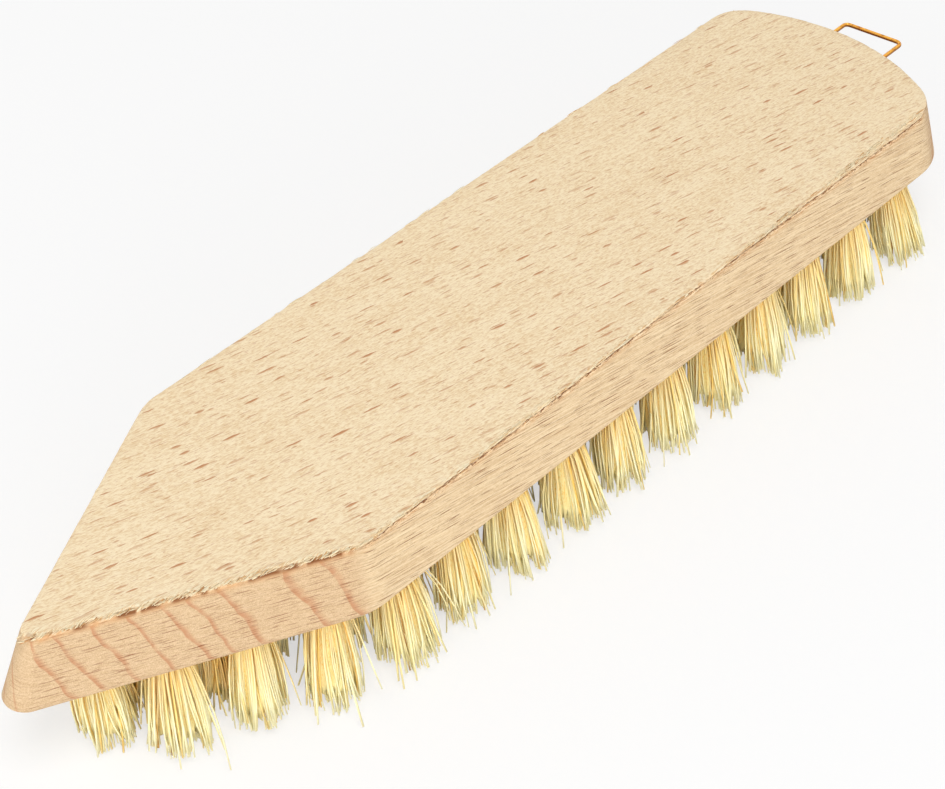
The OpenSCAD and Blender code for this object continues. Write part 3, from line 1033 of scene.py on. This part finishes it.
# slivers of torn grain along the upper edges, in mm
tornShape = dict(
    perMm=9.0,
    bevelLong=(0.7, 3.2),
    bevelShare=(0.25, 0.75),
    bevelFar=0.01,  # the share of slivers on the far side's bevel
    bevelEnd=(0.45, 0.5),
    bevelFan=0.24,
    sideLong=(1.2, 4.5),
    sideShare=(0.12, 0.6),
    sideFar=0.03,
    sidePatch=(0.3, 0.62),
    sideFan=0.05,
    wide=(0.05, 0.2),
    thin=0.03,
    band=1.1,
    proud=0.35,
    lift=((-0.03, 0.12), (-0.06, 0.03)),  # on the bevel, and everywhere
    sag=(-0.1, 0.3),
    bow=0.06,
    tilt=0.3,
    sunk=(0.07, 0.1),  # how deep they lie, and how much deeper at the root
    taper=(0.15, 0.8, 1.0, 0.75, 0.1),
    clumpStep=1.6,
    patchStep=9.0,
    tones=(
        (0.0, tint(190, 130, 78)),
        (0.13, tint(222, 176, 122)),
        (0.3, tint(245, 224, 182)),
        (1.0, tint(253, 240, 206)),
    ),
    streakTone=tint(224, 188, 136),
    streak=((2 * mm, 0.3 * mm, 0.3 * mm), 3, 0.6),
)


# flat closed ribbons along paths, four corners to a station
def ribbons(paths, across, wide, thin, taper):
    n, stations, _ = paths.shape
    verts = np.zeros((n, stations, 4, 3))
    up = np.array([0, 0, thin])
    for i in range(stations):
        half = across * (wide * taper[i])[:, None]
        for k, (side, rise) in enumerate(((1, 0), (0, 1), (-1, 0), (0, -1))):
            verts[:, i, k] = paths[:, i] + half * side + up * rise * (0.3 + 0.7 * taper[i])
    base = np.arange(n)[:, None, None] * stations * 4
    faces = (base + np.concatenate(tubeFaces(stations, 4))).reshape(-1, 4)
    return verts.reshape(-1, 3), faces.tolist()


# they lie along the brush, the way the plane pulled them, and some stand proud of the edge
def buildTorn(outline):
    points, ways, run, length = outline
    t = tornShape
    rng = np.random.default_rng(77)
    total = int(length * t["perMm"])
    at = rng.random(total) * length
    index = np.searchsorted(run, at) - 1
    bevel = smoothStep(ways[index, 0], *bevelTurn)
    left = ways[index, 1] > 0.02
    clump = wander(at, length, t["clumpStep"], 31)
    patch = smoothStep(wander(at, length, t["patchStep"], 32), *t["sidePatch"])
    least, more = t["bevelShare"]
    onBevel = bevel * np.where(left, least + more * clump ** 2, t["bevelFar"])
    onBevel *= 1 - smoothStep(ways[index, 0], *t["bevelEnd"])
    least, more = t["sideShare"]
    onSide = (1 - bevel) * np.where(left, least + more * patch, t["sideFar"])
    onSide *= np.abs(ways[index, 1]) > 0.9
    keep = rng.random(total) < onBevel + onSide
    index = index[keep]
    bevel = bevel[keep]
    onBevel = bevel > 0.5
    n = len(index)
    spread = rng.uniform(0, 1, n) ** 1.5 * t["band"]
    spot = points[index] - ways[index] * (blockShape["sideInset"] + spread)[:, None]
    way = circle(rng.normal(0, 1, n) * np.where(onBevel, t["bevelFan"], t["sideFan"]))
    way[rng.random(n) < 0.5 * (1 - bevel)] *= -1
    reach = np.where(onBevel, rng.uniform(*t["bevelLong"], n), rng.uniform(*t["sideLong"], n))
    # how far each sliver may run before it stands proud of the edge
    away = np.einsum("ij,ij->i", way, ways[index])
    room = spread + rng.uniform(0.0, t["proud"], n) ** 1.3
    forward = np.where(away > 0.02, room / np.maximum(away, 0.02), reach)
    forward = np.minimum(forward, reach * rng.uniform(0.3, 1.0, n))
    lift = rng.uniform(*t["lift"][0], n) * bevel + rng.uniform(*t["lift"][1], n)
    sag = rng.uniform(*t["sag"], n)
    bow = rng.normal(0, t["bow"], n)
    side = np.stack([-way[:, 1], way[:, 0]], 1)
    stations = len(t["taper"])
    paths = np.zeros((n, stations, 3))
    for i, s in enumerate(np.linspace(0, 1, stations)):
        ahead = forward - reach * (1 - s)
        paths[:, i, :2] = spot + way * ahead[:, None] + side * (bow * 4 * s * (1 - s))[:, None]
        past = np.clip(ahead / np.maximum(forward, 0.05), 0, 1)
        level = topSide - t["sunk"][0] + lift * s - sag * past ** 2
        paths[:, i, 2] = level - t["sunk"][1] * (1 - s) ** 2
    wide = rng.uniform(*t["wide"], n)
    across = np.concatenate([side, rng.normal(0, t["tilt"], (n, 1))], 1)
    verts, faces = ribbons(paths, across, wide, t["thin"], t["taper"])
    return makeObject("tornGrain", verts * mm, faces)


def tornMaterial():
    t = tornShape
    s = Shader(bpy.data.materials.new("tornGrainWood"))
    pick = s.node("NewGeometry").outputs["Random Per Island"]
    streak = s.noise(s.node("TexCoord").outputs["Object"], *t["streak"])
    tone = s.mix(s.ease(streak, 0.4, 0.75, 0.0, 0.5), s.ramp(pick, t["tones"]), t["streakTone"])
    s.finish(tone, s.ease(streak, 0.3, 0.7, 0.65, 0.85), 0.25)
    return s.owner


# drawn wire: its bright colour, the colour of its streaks, and a dark one for tarnish spots and
# for the painted shade down its sides
wire = dict(
    copper=(tint(252, 190, 84), tint(236, 150, 62), tint(142, 78, 40)),
    steel=(tint(200, 200, 196), tint(168, 168, 166), tint(120, 112, 104)),
    drawn=((2.2 * mm, 2.2 * mm, 0.3 * mm), 3, 0.6),
    spots=((0.8 * mm, 0.8 * mm, 0.8 * mm), 3, 0.65),
    roughness=(0.16, 0.45),
    bumpStrength=0.35,
    bumpHeight=0.04 * mm,
)


def wireMaterial(name, colours):
    w = wire
    bright, dark, tarnishAndShade = colours
    s = Shader(bpy.data.materials.new(name))
    place = s.node("TexCoord").outputs["Object"]
    drawn = s.noise(place, *w["drawn"])
    spots = s.noise(place, *w["spots"])
    tone = s.mix(s.ease(drawn, 0.35, 0.7, 0.0, 0.6), bright, dark)
    tone = s.mix(s.ease(spots, 0.52, 0.72, 0.0, 0.8), tone, tarnishAndShade)
    # painted shade: the wire darkens down its sides and underneath, by which way its surface
    # faces, and keeps its bright colour on top
    upward = s.parted(s.node("NewGeometry").outputs["Normal"])[2]
    tone = s.mix(s.ease(upward, 0.35, 0.85, 0.85, 0.0), tone, tarnishAndShade)
    s.finish(tone, s.ease(spots, 0.3, 0.75, *w["roughness"]), metallic=1.0)
    s.bump(drawn, w["bumpStrength"], w["bumpHeight"])
    return s.owner


# put the brush together
rowNodes = ["centre_row"]
for first in ("inner", "middle", "edge"):
    rowNodes += [first + "_row_left", first + "_row_right"]
rows = {name: tuftPlaces(name) for name in rowNodes}
everyTuft = [t for places in rows.values() for t in places]
print("tufts found:", {name: len(places) for name, places in rows.items()})

outline = measureOutline()
block = buildBlock(outline, everyTuft)
dress(block, beechMaterial())
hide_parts("beech_block")
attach(block, "root")
print("block built:", len(block.data.polygons), "faces")

torn = buildTorn(outline)
dress(torn, tornMaterial())
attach(torn, "root")
print("torn grain built:", len(torn.data.polygons), "faces")

fibreLook = fibreMaterial()
seed = tuftShape["seed"]
for nodeName, places in rows.items():
    first, *others = nodeName.split("_")
    pieceName = first + "".join(word.capitalize() for word in others) + "Tufts"
    tuftPiece = buildTufts(pieceName, places, everyTuft, seed)
    seed += len(places)
    dress(tuftPiece, fibreLook)
    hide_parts(nodeName)
    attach(tuftPiece, "root")
print("tufts built")

copper = wireMaterial("copperWire", wire["copper"])
steel = wireMaterial("anchorWire", wire["steel"])
for nodeName, look in (("hanging_loop", copper), ("tuft_anchors", steel)):
    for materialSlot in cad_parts[nodeName].material_slots:
        materialSlot.material = look
print("wires dressed")


# floor, sky and lamps, in metres and watts
studio = dict(
    floorSize=6.0,
    floorColour=(0.96, 0.96, 0.96, 1),
    floorSeen=(0.36, 0.36, 0.36, 1),
    floorLift=0.63,
    floorRough=0.9,
    skyTop=0.34,
    skyRim=1.45,
    lamps=(
        ("softbox", 8.3, 0.7, (0.4, 0.45, 1.28)),
        ("lowFill", 5.2, 0.7, (0.9, 1.05, 0.27)),
        ("noseFill", 3.0, 0.7, (1.35, 0.0, 0.27)),
    ),
    lampAim=(0, 0, 0.02),
    bounces=20,
    diffuseBounces=16,
)


def buildStudio():
    st = studio
    half = st["floorSize"] / 2
    corners = [(-half, -half, 0), (half, -half, 0), (half, half, 0), (-half, half, 0)]
    floor = makeObject("studioFloor", corners, [(0, 1, 2, 3)], smooth=False)
    s = Shader(bpy.data.materials.new("studioFloorPaint"))
    seen = s.node("LightPath").outputs["Is Camera Ray"]
    s.finish(s.mix(seen, st["floorColour"], st["floorSeen"]), st["floorRough"], 0.0)
    glow = s.times(seen, st["floorLift"])
    s.fill(s.gloss, {"Emission Color": white, "Emission Strength": glow})
    dress(floor, s.owner)

    s = Shader(bpy.data.worlds.new("softSky"))
    bpy.context.scene.world = s.owner
    path = s.node("LightPath")
    seen = s.larger(path.outputs["Is Camera Ray"], path.outputs["Is Glossy Ray"])
    # the sky is brighter towards the horizon, as in a light tent
    height = s.parted(s.node("TexCoord").outputs["Generated"])[2]
    low = s.maths("SUBTRACT", 1.0, height, clamp=True)
    tent = s.ease(s.times(low, low), 0.0, 1.0, st["skyTop"], st["skyRim"], "LINEAR")
    strength = s.ease(seen, 0.0, 1.0, tent, 1.0, "LINEAR")
    s.fill(s.tree.nodes["Background"], {"Color": white, "Strength": strength})

    for name, power, size, spot in st["lamps"]:
        lamp = bpy.data.lights.new(name, "AREA")
        lamp.shape = "DISK"
        lamp.size = size
        lamp.energy = power
        holder = addToScene(name, lamp)
        holder.location = spot
        aim = Vector(st["lampAim"]) - holder.location
        holder.rotation_mode = "QUATERNION"
        holder.rotation_quaternion = aim.to_track_quat("-Z", "Y")


# where the camera stands, in mm from the foot of the nose's tip
shot = dict(
    place=(141.32, 225.81, 305.33),
    right=(-0.66609, 0.74585, 0.00614),
    up=(-0.50086, -0.45336, 0.73729),
    back=(0.55269, 0.48804, 0.67554),
    lens=91.64,
    sensor=36.0,
    near=0.01,
    far=20,
)


def buildCamera():
    c = shot
    data = bpy.data.cameras.new("shotCamera")
    data.sensor_fit = "HORIZONTAL"
    data.sensor_width = c["sensor"]
    data.lens = c["lens"]
    data.clip_start = c["near"]
    data.clip_end = c["far"]
    camera = addToScene("shotCamera", data)
    turn = Matrix((c["right"], c["up"], c["back"])).transposed().to_4x4()
    foot = Vector((blockHigh.x, 0, blockLow.z))
    camera.matrix_world = Matrix.Translation(foot + Vector(c["place"]) * mm) @ turn
    bpy.context.scene.camera = camera


buildStudio()
buildCamera()
scene = bpy.context.scene
scene.view_settings.view_transform = "Standard"
# light finds its way into the tufts only after many bounces
scene.cycles.max_bounces = studio["bounces"]
scene.cycles.diffuse_bounces = studio["diffuseBounces"]
print("studio ready")
